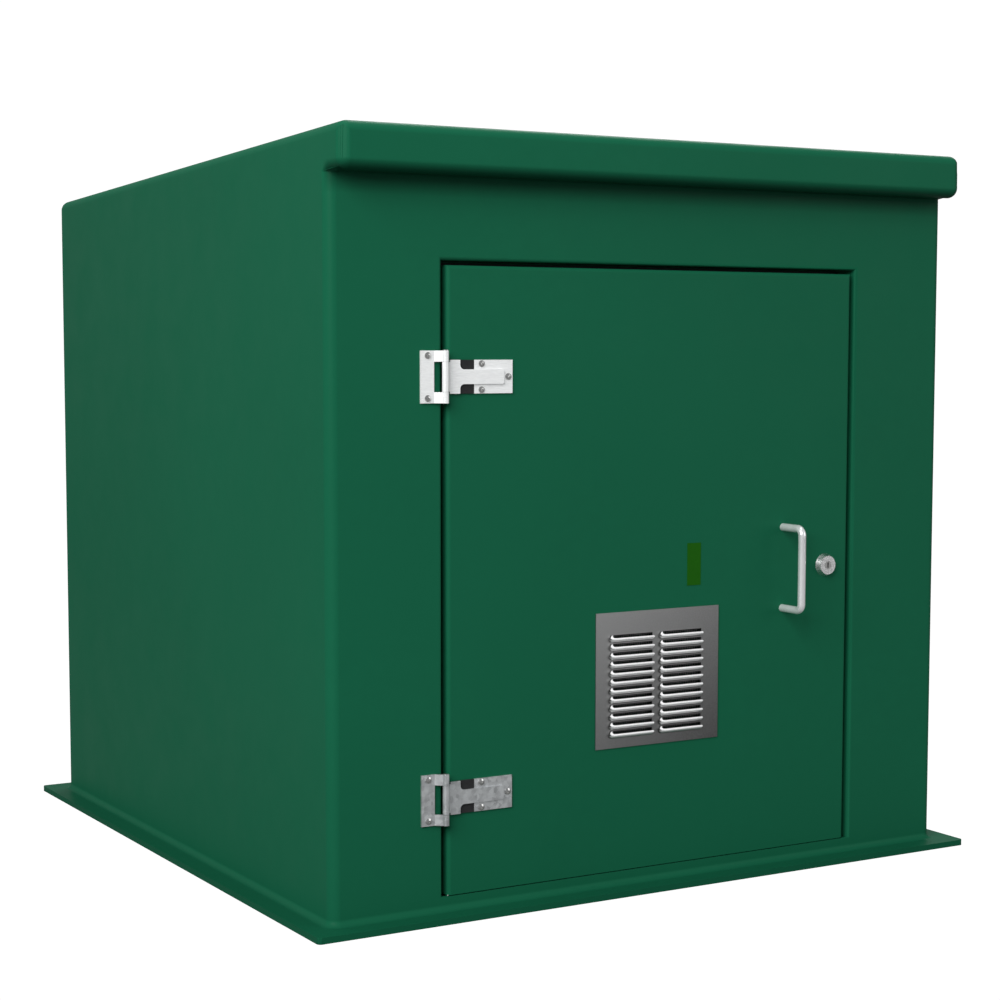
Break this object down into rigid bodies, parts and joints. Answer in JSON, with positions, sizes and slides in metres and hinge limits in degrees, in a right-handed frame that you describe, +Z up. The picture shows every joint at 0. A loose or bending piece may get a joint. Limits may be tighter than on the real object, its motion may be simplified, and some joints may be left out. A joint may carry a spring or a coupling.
{
  "type": "roadside utility cabinet",
  "caption": "Low GRP roadside cabinet with a sloping roof, canopy lip, base flange and a hinged, vented, lockable door.",
  "frame": {"origin": "ground level under the middle of the footprint", "axes": "+Z up; the door faces -Y; +X is to the right when facing the door"},
  "size_m": [1.076, 1.088, 1.0245],
  "materials": {
    "body_gelcoat": "moulded GRP with a satin green gelcoat",
    "door_gelcoat": "moulded GRP with a satin green gelcoat",
    "seal_rubber": "matt black EPDM",
    "pad_rubber": "matt black rubber",
    "plywood": "bare birch plywood",
    "pine": "planed pine",
    "zinc_fasteners": "bright zinc plate",
    "screw_steel": "satin stainless steel",
    "bright_steel": "pale satin steel",
    "galvanised_steel": "mottled galvanised steel",
    "pin_steel": "satin steel",
    "louvre_metal": "satin grey metal with a fine grain",
    "mesh_wire": "woven stainless wire",
    "handle_chrome": "polished",
    "lock_chrome": "bright plated",
    "plug_metal": "satin",
    "label_green": "plain matt film"
  },
  "bodies": {
    "cabinet": {"body_shell": "body_gelcoat", "door_seal": "seal_rubber", "equipment_board": "plywood", "board_battens": "pine", "board_screws": "zinc_fasteners", "upper_hinge_frame_leaf": "bright_steel", "lower_hinge_frame_leaf": "galvanised_steel", "upper_hinge_pin": "pin_steel", "lower_hinge_pin": "pin_steel", "frame_hinge_screws": "screw_steel", "frame_hinge_nuts": "zinc_fasteners", "lock_keeper": "zinc_fasteners", "keeper_rivets": "zinc_fasteners"},
    "door": {"door_panel": "door_gelcoat", "upper_hinge_door_leaf": "bright_steel", "lower_hinge_door_leaf": "galvanised_steel", "upper_hinge_clamp_plate": "bright_steel", "lower_hinge_clamp_plate": "galvanised_steel", "upper_hinge_pad": "pad_rubber", "lower_hinge_pad": "pad_rubber", "door_hinge_screws": "screw_steel", "door_hinge_nuts": "zinc_fasteners", "louvre_plate": "louvre_metal", "insect_mesh": "mesh_wire", "mesh_retainer": "zinc_fasteners", "mesh_nuts": "zinc_fasteners", "pull_handle": "handle_chrome", "handle_screws": "zinc_fasteners", "handle_washers": "zinc_fasteners", "lock_body": "lock_chrome", "lock_nut": "zinc_fasteners", "label_plate": "label_green"},
    "lock": {"lock_plug": "plug_metal", "lock_cam": "zinc_fasteners", "cam_screw": "zinc_fasteners"}
  },
  "joints": [
    {"name": "door_hinge", "type": "hinge", "parent": "cabinet", "child": "door", "pos_m": [-0.341, -0.5045, 0.434], "axis": [0, 0, -1], "range_deg": [0, 170]},
    {"name": "lock_turn", "type": "hinge", "parent": "door", "child": "lock", "pos_m": [0.292, -0.495, 0.434], "axis": [0, -1, 0], "range_deg": [0, 90]}
  ]
}
